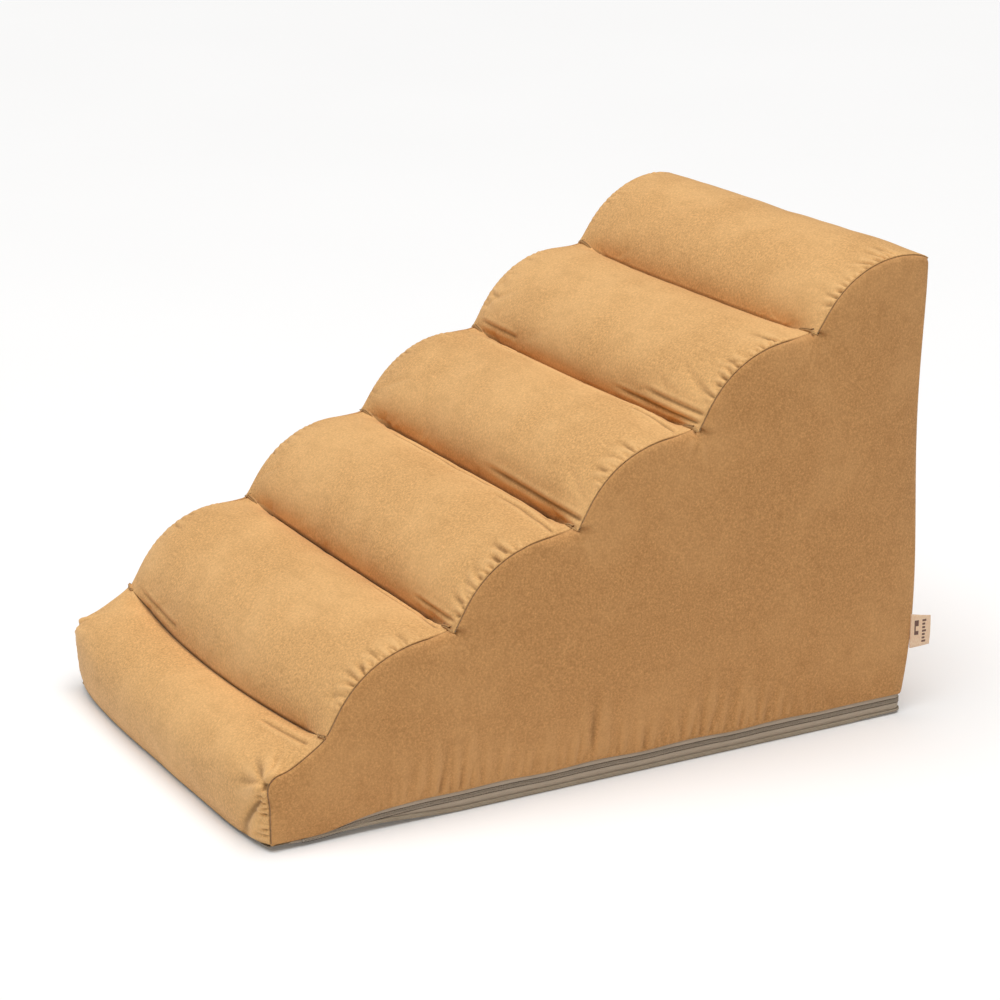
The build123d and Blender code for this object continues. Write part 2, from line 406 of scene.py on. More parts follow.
# four-sided faces over a grid of point numbers
def quads(index):
    return np.stack([index[:-1, :-1], index[:-1, 1:], index[1:, 1:], index[1:, :-1]], 2).reshape(-1, 4)


# the whole cover above the zip as one skin, and which of its faces are which panel
def coverShell():
    outline = outlineOf(blockShape["grain"])
    columns = columnPlaces()
    top = topSkin(outline, columns)
    rowCount, columnCount = top.shape[:2]
    points = [top.reshape(-1, 3)]
    total = rowCount * columnCount
    topIndex = np.arange(total).reshape(rowCount, columnCount)
    heights = np.linspace(top[-1, -1, 2], bandTopZ, 98)[1:]
    rearRows = []
    lowRows = []
    sideFaces = {}
    lowY = np.linspace(rearEdge(bandTopZ), frontY, 196)[1:-1]
    for name, column, sign in (("left", 0, -1), ("right", -1, 1)):
        rear = np.stack([sign * (halfWidth - 0.002) + 0 * heights, rearEdge(heights), heights], 1)
        low = np.stack([sign * (halfWidth + 0.0003) + 0 * lowY, lowY, bandLine(lowY, sign)], 1)
        rearIndex = total + np.arange(len(rear))
        lowIndex = total + len(rear) + np.arange(len(low))
        seam = top[:, column]
        loop = np.concatenate([seam, rear, low])
        loopIndex = np.concatenate([topIndex[:, column], rearIndex, lowIndex])
        inner = sidePlanePoints(loop[:, 1:])
        skin = sideSkin(inner, seam[:, 1:], halfWidth - np.abs(seam[:, 0]), sign)
        innerIndex = total + len(rear) + len(low) + np.arange(len(inner))
        flat = [Vector(p) for p in np.concatenate([loop[:, 1:], inner])]
        ring = [(k, (k + 1) % len(loop)) for k in range(len(loop))]
        found = delaunay_2d_cdt(flat, ring, [], 1, 1e-7)
        origin = [o[0] if o else -1 for o in found[3]]
        lookUp = np.concatenate([loopIndex, innerIndex])
        faces = [[int(lookUp[origin[v]]) for v in f] for f in found[2] if all(origin[v] >= 0 for v in f)]
        if sign < 0:
            faces = [f[::-1] for f in faces]
        sideFaces[name] = faces
        points += [rear, low, skin]
        total += len(rear) + len(low) + len(inner)
        rearRows.append(rearIndex)
        lowRows.append(lowIndex)
    # back: rows down from the top seam, between the two rear seams
    across = top[-1, 1:-1, 0] / halfWidth
    backIndex = [topIndex[-1]]
    for row, height in enumerate(heights):
        edge = halfWidth - np.abs(across) * halfWidth
        low = height - bandTopZ
        swell = swelling(edge, 0.05) * swelling(low, 0.03) * swelling(backTopZ - height, 0.04)
        z = height + (top[-1, 1:-1, 2] - top[-1, -1, 2]) * (1 - (row + 1) / len(heights))
        y = rearEdge(height) + blockShape["backSwell"] * swell
        stack = np.stack([across * (halfWidth - 0.002), y, z], 1)
        stack[:, 1] += 0.0014 * slowNoise(stack, 0.12, 6) * swell
        points.append(stack)
        inner = total + np.arange(len(across))
        total += len(across)
        backIndex.append(np.concatenate([[rearRows[0][row]], inner, [rearRows[1][row]]]))
    backIndex = np.array(backIndex)
    panels = {}
    segment = outline["segment"]
    spans = {}
    first = 0
    for number in range(6):
        last = int(np.max(np.nonzero(segment == number)[0]))
        name = "foot" if number == 0 else f"tread{number}"
        panels[name] = quads(topIndex[first:last + 1]).tolist()
        spans[name] = (first, last)
        first = last
    panels["back"] = quads(backIndex).tolist()
    panels["left"] = sideFaces["left"]
    panels["right"] = sideFaces["right"]
    grid = dict(outline=outline, columns=columns, topIndex=topIndex, spans=spans)
    return leanLeft(np.concatenate(points)), panels, grid


def addObject(name, data):
    thing = bpy.data.objects.new(name, data)
    bpy.context.scene.collection.objects.link(thing)
    return thing


def meshFrom(name, points, faces, edges=()):
    mesh = bpy.data.meshes.new(name)
    mesh.from_pydata([tuple(p) for p in points], edges, faces)
    mesh.update()
    return addObject(name, mesh)


coverCloth = dict(
    frames=20,
    mostMove=0.0075,      # no point moves further than this
    settings=dict(quality=5, mass=0.25, tension_stiffness=12.0, compression_stiffness=12.0,
                  shear_stiffness=4.8, bending_stiffness=0.05, air_damping=2.0,
                  vertex_group_mass="hold", vertex_group_shrink="loose", shrink_min=0.0,
                  shrink_max=-0.09,      # most the cloth may grow where it is gathered
                  use_pressure=True, uniform_pressure_force=5.0),
)


# points shared by two panels, or on the skin's open edge
def seamPoints(panels, count):
    edgeUse = {}
    for name, faces in panels.items():
        for face in faces:
            for a, b in zip(face, face[1:] + face[:1]):
                edgeUse.setdefault((min(a, b), max(a, b)), []).append(name)
    seam = np.zeros(count, bool)
    for (a, b), users in edgeUse.items():
        if len(users) == 1 or users[0] != users[1]:
            seam[a] = seam[b] = True
    return seam


# 0 to 1, how much spare cloth was eased in at each point
def fullness(points, panels, seam, grid):
    full = np.zeros(len(points))
    outline, columns, topIndex = grid["outline"], grid["columns"], grid["topIndex"]
    after, before = outline["after"], outline["before"]
    spot = slowNoise(points, 0.030, 21)
    wide = slowNoise(points, 0.075, 22)
    top = points[topIndex]
    edge = (halfWidth - np.abs(columns))[None, :]
    onArc = (smooth(after, 0.012, 0.03) * (1 - smooth(after, 0.075, 0.115)))[:, None]
    strip = bell(edge, 0, 0.026)
    cluster = smooth(0.6 * spot[topIndex] + 0.6 * wide[topIndex], -0.25, 0.35)
    full[topIndex] = strip * onArc * cluster * (outline["segment"] > 0)[:, None]
    # puckers along both front corners of the foot, most at the right
    atFoot = (outline["segment"] == 0)[:, None]
    right = bell(halfWidth - columns[None, :], 0, 0.030)
    left = 0.6 * bell(halfWidth + columns[None, :], 0, 0.024)
    full[topIndex] += atFoot * (right + left) * smooth(before[:, None], 0.0, 0.012)
    # along the valleys the cloth is eased a little too
    valley = bell(np.minimum(after, before), 0, 0.016) * (outline["segment"] > 0)
    valley = valley[:, None]
    full[topIndex] += 0.45 * valley * smooth(wide[topIndex], -0.2, 0.5)
    for name in ("left", "right"):
        mine = np.unique(np.concatenate([np.array(f) for f in panels[name]]))
        mine = mine[~seam[mine]]
        place = points[mine]
        low = place[:, 2] - bandLine(place[:, 1])
        run = place[:, 1] - frontY
        span = smooth(run, 0.07, 0.16) * (1 - smooth(run, 0.50, 0.64))
        reach = 0.030 + 0.030 * smooth(wide[mine], -0.3, 0.4)
        full[mine] = bell(low, 0, reach) * span * 0.9
        full[mine] += 0.7 * bell(run, 0.012, 0.016) * (place[:, 2] < 0.09)
    return np.clip(full, 0, 1)


# lets the eased cloth buckle between its seams, and gives back the settled points
def settleCloth(points, panels, seam, full, shape):
    faces = [f for name in panels for f in panels[name]]
    piece = meshFrom("clothDraft", points, faces)
    hold = piece.vertex_groups.new(name="hold")
    loose = piece.vertex_groups.new(name="loose")
    hold.add([int(k) for k in np.nonzero(seam)[0]], 1.0, "REPLACE")
    for level in range(1, 11):
        share = level / 10
        members = np.nonzero((full > share - 0.05) & (full <= share + 0.05))[0]
        if len(members):
            loose.add([int(k) for k in members], share, "REPLACE")
    cloth = piece.modifiers.new("cloth", "CLOTH")
    for setting, value in shape["settings"].items():
        setattr(cloth.settings, setting, value)
    cloth.settings.effector_weights.gravity = 0
    cloth.collision_settings.use_collision = False
    cloth.collision_settings.use_self_collision = False
    cloth.point_cache.frame_start = 1
    cloth.point_cache.frame_end = shape["frames"]
    stage = bpy.context.scene
    for number in range(1, shape["frames"] + 1):
        stage.frame_set(number)
    settled = piece.evaluated_get(bpy.context.evaluated_depsgraph_get()).to_mesh()
    found = np.empty(len(points) * 3)
    settled.vertices.foreach_get("co", found)
    found = found.reshape(-1, 3)
    bpy.data.objects.remove(piece, do_unlink=True)
    stage.frame_set(1)
    move = found - points
    far = np.linalg.norm(move, axis=1)
    print("cloth moved up to", round(float(far.max()) * 1000, 1), "mm")
    most = shape["mostMove"]
    scale = most * np.tanh(far / most) / np.maximum(far, 1e-9)
    return points + move * scale[:, None]


points, panels, grid = coverShell()
seam = seamPoints(panels, len(points))
print("cover skin", len(points), "points", sum(len(f) for f in panels.values()), "faces")
full = fullness(points, panels, seam, grid)
points = settleCloth(points, panels, seam, full, coverCloth)


# more rows between the old ones, eased through them
def finer(values, times):
    count = len(values)
    place = np.arange((count - 1) * times + 1) / times
    before = np.minimum(place.astype(int), count - 2)
    t = (place - before).reshape((-1,) + (1,) * (values.ndim - 1))
    a, b, c, d = [values[np.clip(before + shift, 0, count - 1)] for shift in (-1, 0, 1, 2)]
    second, third = 2 * a - 5 * b + 4 * c - d, 3 * b - a - 3 * c + d
    return 0.5 * (2 * b + (c - a) * t + second * t ** 2 + third * t ** 3)


def sheetNormals(sheet):
    along, across = np.gradient(sheet, axis=0), np.gradient(sheet, axis=1)
    normal = np.cross(across, along)
    return normal / np.maximum(np.linalg.norm(normal, axis=2)[:, :, None], 1e-12)


# one pinched line: narrow and deep, with a low ridge on each side
def creaseShape(distance, width):
    away = distance / width
    ridge = np.exp(-((np.abs(away) - 2.1) / 1.3) ** 2)
    return 0.55 * ridge - np.exp(-away ** 2)


def pinch(at, lean, bend, reach, width, depth):
    return dict(at=at, lean=lean, bend=bend, reach=reach, width=width, depth=depth)


# where the cloth of one tread is gathered along one side seam, mostly in a few clusters
def sidePinches(dice, length, right):
    pinches = []
    share = 1.15 if right else 0.6
    place = chance(dice, 0.010, 0.006)
    clusters = [(chance(dice, 0.16, 0.62), chance(dice, 0.012, 0.016)) for _ in range(3)]
    clusters.append((0.40, 0.030))
    while place < min(0.128, length - 0.016):
        near = max(math.exp(-((place / length - at) * length / wide) ** 2) for at, wide in clusters)
        if near > chance(dice, 0.30, 0.35):
            reach = 0.007 + 0.013 * near * dice.random() + (0.012 if dice.random() > 0.8 else 0)
            pinches.append(pinch(place, dice.normal(0, 0.16), dice.normal(0, 3.5), reach,
                                 chance(dice, 0.0011, 0.0008),
                                 (0.0009 + 0.0015 * near * dice.random()) * share))
        place += chance(dice, 0.0036, 0.0045)
    return pinches


# puckers across a front corner, and folds that fan out from its top
def footPinches(dice, right):
    pinches = []
    corner = blockShape["footFace"] - 0.006
    for k in range(9):
        place = 0.008 + k * 0.0058 + 0.002 * dice.random()
        depth = chance(dice, 0.0009, 0.0010) * (1 if right else 0.5)
        pinches.append(pinch(place, dice.normal(0, 0.12), 0, chance(dice, 0.007, 0.010),
                             chance(dice, 0.0011, 0.0006), depth))
    for lean in (-1.3, -0.75, -0.4, -0.05, 0.3, 0.62, 1.0):
        depth = chance(dice, 0.0018, 0.0016) * (1 if right else 0.55)
        pinches.append(pinch(chance(dice, corner, 0.002), lean * chance(dice, 0.85, 0.3),
                             dice.normal(0, 4), chance(dice, 0.014, 0.020),
                             chance(dice, 0.0013, 0.0009), depth))
    return pinches


# long soft folds that lie along a valley: panel, whether above its lower seam (or below its upper
# one), how far from it, drift, from where to where across the width, width and depth
longFolds = [
    ("tread3", True, 0.011, 0.05, 0.02, 0.225, 0.0022, 0.0016),
    ("tread2", False, 0.012, 0.04, -0.15, 0.215, 0.0026, 0.0018),
    ("tread2", False, 0.022, 0.12, 0.10, 0.222, 0.0022, 0.0013),
    ("tread4", True, 0.008, 0.06, 0.06, 0.222, 0.0017, 0.0014),
    ("tread4", True, 0.017, 0.14, 0.12, 0.224, 0.0020, 0.0013),
    ("tread3", False, 0.010, 0.03, -0.19, 0.20, 0.0024, 0.0018),
    ("tread3", False, 0.020, -0.09, 0.13, 0.222, 0.0020, 0.0012),
    ("tread1", False, 0.009, 0.05, 0.05, 0.215, 0.0022, 0.0013),
    ("tread2", True, 0.010, 0.08, 0.13, 0.222, 0.0018, 0.0012),
    ("tread1", True, 0.010, -0.05, -0.21, -0.10, 0.0020, 0.0011),
    ("tread4", True, 0.012, -0.08, -0.22, -0.13, 0.0020, 0.0012),
    ("foot", False, 0.014, 0.10, 0.12, 0.215, 0.0024, 0.0012),
]


# one panel of the top with its fine gathers pressed in
def topPanel(name, number, points, grid):
    dice = np.random.default_rng(100 + number)
    first, last = grid["spans"][name]
    sheet = points[grid["topIndex"][first:last + 1]]
    sheet = finer(finer(sheet, 3).swapaxes(0, 1), 2).swapaxes(0, 1)
    after = grid["outline"]["after"][first:last + 1].copy()
    after[0] = 0
    after = finer(after, 3)[:, None]
    length = after[-1, 0]
    across = finer(grid["columns"], 2)[None, :]
    press = np.zeros(sheet.shape[:2])
    for right in (False, True):
        inward = halfWidth - across if right else halfWidth + across
        folds = sidePinches(dice, length, right) if number else footPinches(dice, right)
        for fold in folds:
            line = fold["at"] + fold["lean"] * inward + fold["bend"] * inward ** 2
            distance = (after - line) / math.hypot(1, fold["lean"])
            fade = bell(inward, 0, fold["reach"]) * (0.12 + 0.88 * smooth(inward, 0.0004, 0.0036))
            press += fold["depth"] * creaseShape(distance, fold["width"] * (1 + inward / 0.020)) * fade
    for panel, isHigh, away, drift, low, high, width, depth in longFolds:
        if panel != name:
            continue
        offset = away + drift * (high - across) ** 2
        distance = after - offset if isHigh else length - after - offset
        if low < 0 < high:
            fade = smooth(across, low, low + 0.05) * (1 - smooth(across, high - 0.05, high))
        else:
            fade = smooth(across, low, low + 0.3 * (high - low))
            fade = fade * (1 - smooth(across, high - 0.006, high + 0.004))
        press += depth * creaseShape(distance, width) * fade
    # nothing moves on the seams themselves
    still = smooth(after, 0, 0.0015) * smooth(length - after, 0, 0.0015)
    still = still * smooth(halfWidth - np.abs(across), 0, 0.0008)
    sheet = sheet + sheetNormals(sheet) * (press * still)[:, :, None]
    faces = quads(np.arange(sheet[:, :, 0].size).reshape(sheet.shape[:2]))
    seamAway = np.minimum(np.minimum(after, length - after), halfWidth - np.abs(across))
    # pressed-in creases and the seam lines turn into painted shade, raised ridges into painted highlight
    crease = press / 0.0013 - 0.9 * bell(seamAway, 0, 0.0011)
    return sheet.reshape(-1, 3), faces.tolist(), crease.ravel()


# upright gathers above the zip; a pair is a least value and what chance adds
gatherShape = dict(
    start=0.075, stop=0.60,      # from the front face
    rise=(0.06, 0.14), end=(0.50, 0.62),   # where they grow and where they die out
    spacing=(0.0068, 0.0052),
    reach=(0.022, 0.026),        # how far up they run
    lean=(0.02, 0.05),           # middle and spread
    width=(0.0023, 0.0012),
    depth=(0.0013, 0.0012),
    paintedHighlightHeight=0.0012,             # a ridge this high gets the full painted highlight
    paintedShadeDepth=0.0023,              # a crease this deep gets the darkest painted shade
)


# gathers of a side panel: upright ones above the zip, short ones by the front corner
def sidePress(points, sign):
    dice = np.random.default_rng(40 if sign > 0 else 41)
    shape = gatherShape
    run = points[:, 1] - frontY
    low = points[:, 2] - bandLine(points[:, 1], sign)
    press = np.zeros(len(points))
    place = shape["start"]
    while place < shape["stop"]:
        share = float(smooth(place, *shape["rise"]) * (1 - smooth(place, *shape["end"])))
        wave = 0.5 + 0.5 * math.sin(place * 41 + 0.6)
        reach = chance(dice, *shape["reach"]) * (0.65 + 0.5 * wave)
        lean = dice.normal(*shape["lean"])
        width = chance(dice, *shape["width"])
        depth = (shape["depth"][0] + shape["depth"][1] * dice.random() * (0.4 + wave)) * share
        fade = bell(low, 0, reach) * smooth(low, 0, 0.006)
        press += depth * creaseShape(run - place - lean * low, width * (1 + low / 0.06)) * fade
        place += chance(dice, *shape["spacing"])
    for k in range(8):
        height = 0.014 + 0.0062 * k + 0.002 * dice.random()
        depth = chance(dice, 0.0004, 0.0005)
        fade = bell(run, 0, chance(dice, 0.006, 0.007)) * smooth(run, 0, 0.002)
        press += depth * creaseShape(points[:, 2] - height + 0.15 * run, 0.0012) * fade
    # folds that fan out below each valley's end
    for number in range(1, 5):
        aft, up = points[:, 1] - valleyY[number], points[:, 2] - valleyZ[number]
        for angle in (-62, -38, -14, 16, 44):
            turn = math.radians(angle + dice.normal(0, 5))
            along = -up * math.cos(turn) + aft * math.sin(turn)
            aside = up * math.sin(turn) + aft * math.cos(turn)
            reach = chance(dice, 0.014, 0.018) * (1.3 if number == 3 else 1)
            fade = smooth(along, 0.003, 0.010) * bell(along, 0, reach)
            depth = chance(dice, 0.0006, 0.0008)
            press += depth * creaseShape(aside, 0.0016 + along.clip(0) * 0.05) * fade
    points = points.copy()
    points[:, 0] += sign * press
    # creases come out negative for painted shade, ridges positive for painted highlight
    return points, np.where(press > 0, press / shape["paintedHighlightHeight"], press / shape["paintedShadeDepth"])


def shellNormals(points, panels):
    draft = meshFrom("normalDraft", points, [f for name in panels for f in panels[name]])
    normals = np.empty(len(points) * 3)
    draft.data.vertex_normals.foreach_get("vector", normals)
    bpy.data.objects.remove(draft, do_unlink=True)
    return normals.reshape(-1, 3)


# keeps how deep each point lies in a crease, for the cloth's colour: painted shade in creases and seam
# grooves, painted highlight on ridges
def markPaintedShading(piece, values):
    layer = piece.data.attributes.new("crease", "FLOAT", "POINT")
    layer.data.foreach_set("value", np.clip(values, -1, 1).astype(np.float32))


# gives a skin its cloth thickness, towards the inside
def closeSheet(piece, thickness):
    solid = piece.modifiers.new("thickness", "SOLIDIFY")
    solid.thickness = thickness
    solid.offset = -1
    solid.use_rim = True
    for face in piece.data.polygons:
        face.use_smooth = True


# the seams are drawn in so that a thin groove runs between the panels
joined = np.zeros(len(points), bool)
joined[grid["topIndex"][:, [0, -1]]] = True
joined[[grid["topIndex"][last] for first, last in grid["spans"].values()]] = True
groove = 0.0017 * joined
groove[grid["topIndex"][0]] = 0
points = points - shellNormals(points, panels) * groove[:, None]

coverPieces = {}
for number, name in enumerate(["foot"] + [f"tread{n}" for n in range(1, 6)]):
    place, faces, crease = topPanel(name, number, points, grid)
    coverPieces[name] = meshFrom(f"cover_{name}", place, faces)
    markPaintedShading(coverPieces[name], crease)
for name, sign in (("left", -1), ("right", 1), ("back", 0)):
    used = np.unique(np.concatenate([np.array(f) for f in panels[name]]))
    lookUp = np.full(len(points), -1)
    lookUp[used] = np.arange(len(used))
    faces = [[int(lookUp[v]) for v in face] for face in panels[name]]
    place = points[used]
    crease = np.zeros(len(used))
    if sign:
        still = seam[used]
        pressed, crease = sidePress(place, sign)
        pressed[still] = place[still]
        place = pressed
    # painted shade along the drawn-in seam grooves
    crease = np.where(joined[used], -0.8, crease)
    coverPieces[name] = meshFrom(f"cover_{name}", place, faces)
    markPaintedShading(coverPieces[name], crease)
for name, piece in coverPieces.items():
    closeSheet(piece, clothThickness)
print("cover pieces", {name: len(piece.data.polygons) for name, piece in coverPieces.items()})

sideNodes = dict(foot="foot_panel", left="side_panel_left", right="side_panel_right", back="back_panel")
for name, piece in coverPieces.items():
    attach(piece, "upper")
    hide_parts(sideNodes.get(name, f"tread_panel_{name[-1]}"))


# zip: where it runs, from the right side's front round the back to the left side's front
# points along the zip with the way out of the cover, and which side they are on
def bandPath():
    outer = halfWidth - 0.0013
    back = float(rearEdge(bandTopZ)) - 0.0012
    corner = 0.007
    start = frontY + 0.022
    straight = np.arange(start, back - corner, 0.003)
    turn = np.linspace(0, math.pi / 2, 7)
    rear = np.linspace(outer - corner, -(outer - corner), 140)
    places = [(outer, y, 1, 0, 1) for y in straight]
    places += [(outer - corner + corner * math.cos(a), back - corner + corner * math.sin(a),
                math.cos(a), math.sin(a), 1) for a in turn]
    places += [(x, back, 0, 1, 1 if x > 0 else -1) for x in rear[1:-1]]
    places += [(-outer + corner - corner * math.sin(a), back - corner + corner * math.cos(a),
                -math.sin(a), math.cos(a), -1) for a in turn]
    places += [(-outer, y, -1, 0, -1) for y in straight[::-1]]
    return np.array(places)


# heights along the zip: suede edge, chain, top of the base's lip and underside
def bandLevels(path):
    run = path[:, 1] - frontY
    right = path[:, 4] > 0
    edge = np.where(right, bandLine(path[:, 1], 1), bandLine(path[:, 1], -1))
    drop = 0.0206 - edge
    liftRight = 0.0058 * (1 - smooth(run, 0.09, 0.20))
    liftLeft = 0.0050 * (1 - smooth(run, 0.01, 0.07))
    under = np.where(right, liftRight, liftLeft)
    heel = 0.0022 * smooth(run, 0.60, 0.68)
    chain = 0.014 - 0.62 * np.maximum(drop, 0)
    lip = under + np.maximum(0.0050 - 0.30 * np.maximum(drop, 0), 0.0009)
    return dict(edge=edge, chain=chain, lip=lip, under=under + heel)


# a strip along the path; profile gives (outward, height) columns for every point
def ribbon(name, path, profile):
    columns = [np.stack([path[:, 0] + out * path[:, 2], path[:, 1] + out * path[:, 3], height + 0 * out], 1)
               for out, height in profile]
    sheet = np.stack(columns, 1)
    faces = quads(np.arange(sheet[:, :, 0].size).reshape(sheet.shape[:2]))[:, [0, 3, 2, 1]]
    return meshFrom(name, sheet.reshape(-1, 3), faces.tolist())


zipPath = bandPath()
levels = bandLevels(zipPath)
tapeCut = dict(thickness=0.0006, chainGap=0.0004, tuckUp=0.0030, tuckDown=0.0026)


# a soft bulge between its two hidden edges
def tapeProfile(low, high, lowOut, highOut):
    steps = []
    for t in (0, 0.12, 0.3, 0.5, 0.7, 0.88, 1):
        bulge = 0.00060 * math.sin(math.pi * t)
        steps.append((lowOut * (1 - t) + highOut * t + bulge + 0 * low, low * (1 - t) + high * t))
    return steps


upperTape = ribbon("zip_tape_top", zipPath, tapeProfile(
    levels["chain"] + tapeCut["chainGap"], levels["edge"] + tapeCut["tuckUp"], 0.0006, -0.0004))
lowerTape = ribbon("zip_tape_bottom", zipPath, tapeProfile(
    levels["lip"] - tapeCut["tuckDown"], levels["chain"] - tapeCut["chainGap"], -0.0006, 0.0006))
for piece, node, body in ((upperTape, "zip_tape_upper", "upper"), (lowerTape, "zip_tape_lower", "base")):
    closeSheet(piece, tapeCut["thickness"])
    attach(piece, body)
    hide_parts(node)


# sets sockets from values, colours or the outputs of other nodes
def feed(tree, node, inputs):
    for key, value in inputs.items():
        socket = node.inputs[key]
        if isinstance(value, bpy.types.NodeSocket):
            tree.links.new(value, socket)
        elif isinstance(value, tuple) and socket.type == "RGBA":
            socket.default_value = (*value, 1)
        else:
            socket.default_value = value


def addNode(tree, kind, inputs, **settings):
    node = tree.nodes.new(kind)
    for setting, value in settings.items():
        setattr(node, setting, value)
    feed(tree, node, inputs)
    return node


# small bars repeated along a line: coil turns when upright, stitches when not
def threadTree(upright):
    tree = bpy.data.node_groups.new("coilTurns" if upright else "stitches", "GeometryNodeTree")
    tree.interface.new_socket("Geometry", in_out="INPUT", socket_type="NodeSocketGeometry")
    for label, value in (("Spacing", 0.0013), ("Radius", 0.0004), ("Length", 0.0019)):
        made = tree.interface.new_socket(label, in_out="INPUT", socket_type="NodeSocketFloat")
        made.default_value = value
    tree.interface.new_socket("Thread", in_out="INPUT", socket_type="NodeSocketMaterial")
    tree.interface.new_socket("Geometry", in_out="OUTPUT", socket_type="NodeSocketGeometry")
    given = tree.nodes.new("NodeGroupInput").outputs
    line = addNode(tree, "GeometryNodeMeshToCurve", {0: given["Geometry"]})
    spaced = addNode(tree, "GeometryNodeResampleCurve",
                     {"Curve": line.outputs[0], "Length": given["Spacing"]}, mode="LENGTH")
    bar = addNode(tree, "GeometryNodeMeshCylinder",
                  {"Vertices": 6, "Radius": given["Radius"], "Depth": given["Length"]})
    heading = tree.nodes.new("GeometryNodeInputTangent")
    turn = addNode(tree, "FunctionNodeAlignRotationToVector", {"Vector": heading.outputs[0]},
                   axis="X" if upright else "Z")
    wobble = addNode(tree, "FunctionNodeRandomValue",
                     {"Min": (-0.06,) * 3, "Max": (0.06,) * 3, "Seed": 7}, data_type="FLOAT_VECTOR")
    rotate = addNode(tree, "FunctionNodeRotateRotation", {0: turn.outputs[0], 1: wobble.outputs[0]},
                     rotation_space="LOCAL")
    place = addNode(tree, "GeometryNodeInstanceOnPoints",
                    {"Points": spaced.outputs[0], "Instance": bar.outputs["Mesh"],
                     "Rotation": rotate.outputs[0]})
    real = addNode(tree, "GeometryNodeRealizeInstances", {0: place.outputs[0]})
    paint = addNode(tree, "GeometryNodeSetMaterial",
                    {"Geometry": real.outputs[0], "Material": given["Thread"]})
    addNode(tree, "NodeGroupOutput", {"Geometry": paint.outputs[0]})
    return tree


# runs the tree along a line of points and keeps the result as a plain mesh
def repeatAlong(name, line, tree, sizes, material):
    draft = meshFrom(name + "Line", line, [], [(k, k + 1) for k in range(len(line) - 1)])
    rows = draft.modifiers.new("rows", "NODES")
    rows.node_group = tree
    for item in tree.interface.items_tree:
        if item.item_type == "SOCKET" and item.in_out == "INPUT" and item.name in sizes:
            rows[item.identifier] = sizes[item.name]
        elif item.item_type == "SOCKET" and item.name == "Thread":
            rows[item.identifier] = material
    solid = draft.evaluated_get(bpy.context.evaluated_depsgraph_get())
    piece = addObject(name, bpy.data.meshes.new_from_object(solid))
    bpy.data.objects.remove(draft, do_unlink=True)
    return piece


# one colour into another by a factor
def mixColour(tree, factor, one, two):
    return addNode(tree, "ShaderNodeMix", {0: factor, 6: one, 7: two}, data_type="RGBA").outputs[2]


# maps a noise value to a range
def spread(tree, value, low, high, fromLow=0.3, fromHigh=0.7, **settings):
    ends = {"Value": value, "From Min": fromLow, "From Max": fromHigh, "To Min": low, "To Max": high}
    return addNode(tree, "ShaderNodeMapRange", ends, **settings).outputs["Result"]


def combine(tree, operation, one, two):
    return addNode(tree, "ShaderNodeMath", {0: one, 1: two}, operation=operation).outputs[0]


def grainNoise(tree, place, scale, detail=2.0, stretch=(1, 1, 1)):
    mapping = addNode(tree, "ShaderNodeMapping", {"Vector": place, "Scale": stretch})
    inputs = {"Vector": mapping.outputs[0], "Scale": scale, "Detail": detail}
    return addNode(tree, "ShaderNodeTexNoise", inputs).outputs["Fac"]


def startMaterial(name):
    material = bpy.data.materials.new(name)
    material.use_nodes = True
    tree = material.node_tree
    place = tree.nodes.new("ShaderNodeTexCoord").outputs["Object"]
    return material, tree, tree.nodes["Principled BSDF"], place


# bumps laid one over another: (height, strength, distance)
def putBump(tree, shader, heights):
    inputs = {}
    for height, strength, distance in heights:
        inputs.update({"Height": height, "Strength": strength, "Distance": distance})
        inputs["Normal"] = addNode(tree, "ShaderNodeBump", inputs).outputs["Normal"]
    feed(tree, shader, {"Normal": inputs["Normal"]})


# light, dark and the blotch tone are the suede's own colour; the blotch tone is also the painted highlight on
# ridges, and deep is painted shade in creases and seam grooves
suedeLook = dict(
    light=(0.90, 0.520, 0.205), dark=(0.53, 0.284, 0.103),
    wornAndHighlight=(0.92, 0.56, 0.240), deep=(0.17, 0.085, 0.032),
    grain=470, speck=1000, blotch=11, sheen=0.25,
)


# the tint scales every tone: the sides and back get a darker, warmer copy of the suede, painted shade for
# panels turned from the light
def suedeMaterial(name, shadeTint):
    look = dict(suedeLook)
    for tone in ("light", "dark", "wornAndHighlight", "deep"):
        look[tone] = tuple(value * share for value, share in zip(look[tone], shadeTint))
    material, tree, shader, place = startMaterial(name)
    grain = grainNoise(tree, place, look["grain"], 3)
    speck = grainNoise(tree, place, look["speck"], 1)
    blotch = grainNoise(tree, place, look["blotch"], 3)
    brushed = grainNoise(tree, place, 34, 4, (1, 2.2, 2.2))
    colour = mixColour(tree, spread(tree, grain, 0.18, 1.0), look["dark"], look["light"])
    colour = mixColour(tree, spread(tree, speck, 0, 0.60, 0.42, 0.75), colour, look["dark"])
    colour = mixColour(tree, spread(tree, blotch, 0, 0.34, 0.42, 0.62), colour, look["wornAndHighlight"])
    colour = mixColour(tree, spread(tree, brushed, 0, 0.24, 0.50, 0.70), colour, look["dark"])
    # painted highlight where the cloth rises on ridges, and painted shade down in the creases and along the
    # seam grooves
    crease = addNode(tree, "ShaderNodeAttribute", {}, attribute_name="crease").outputs["Fac"]
    colour = mixColour(tree, spread(tree, crease, 0, 0.62, -0.15, -1.0), colour, look["deep"])
    colour = mixColour(tree, spread(tree, crease, 0, 0.40, 0.08, 0.6), colour, look["wornAndHighlight"])
    feed(tree, shader, {
        "Base Color": colour,
        "Roughness": spread(tree, brushed, 0.82, 0.95),
        "Sheen Weight": spread(tree, grain, 0.75 * look["sheen"], 1.3 * look["sheen"]),
        "Sheen Roughness": 0.45,
        "Sheen Tint": (1, 0.86, 0.68),
        "Specular IOR Level": 0.22,
    })
    putBump(tree, shader, [(brushed, 0.20, 0.0010), (grain, 0.50, 0.0003), (speck, 0.25, 0.00012)])
    return material


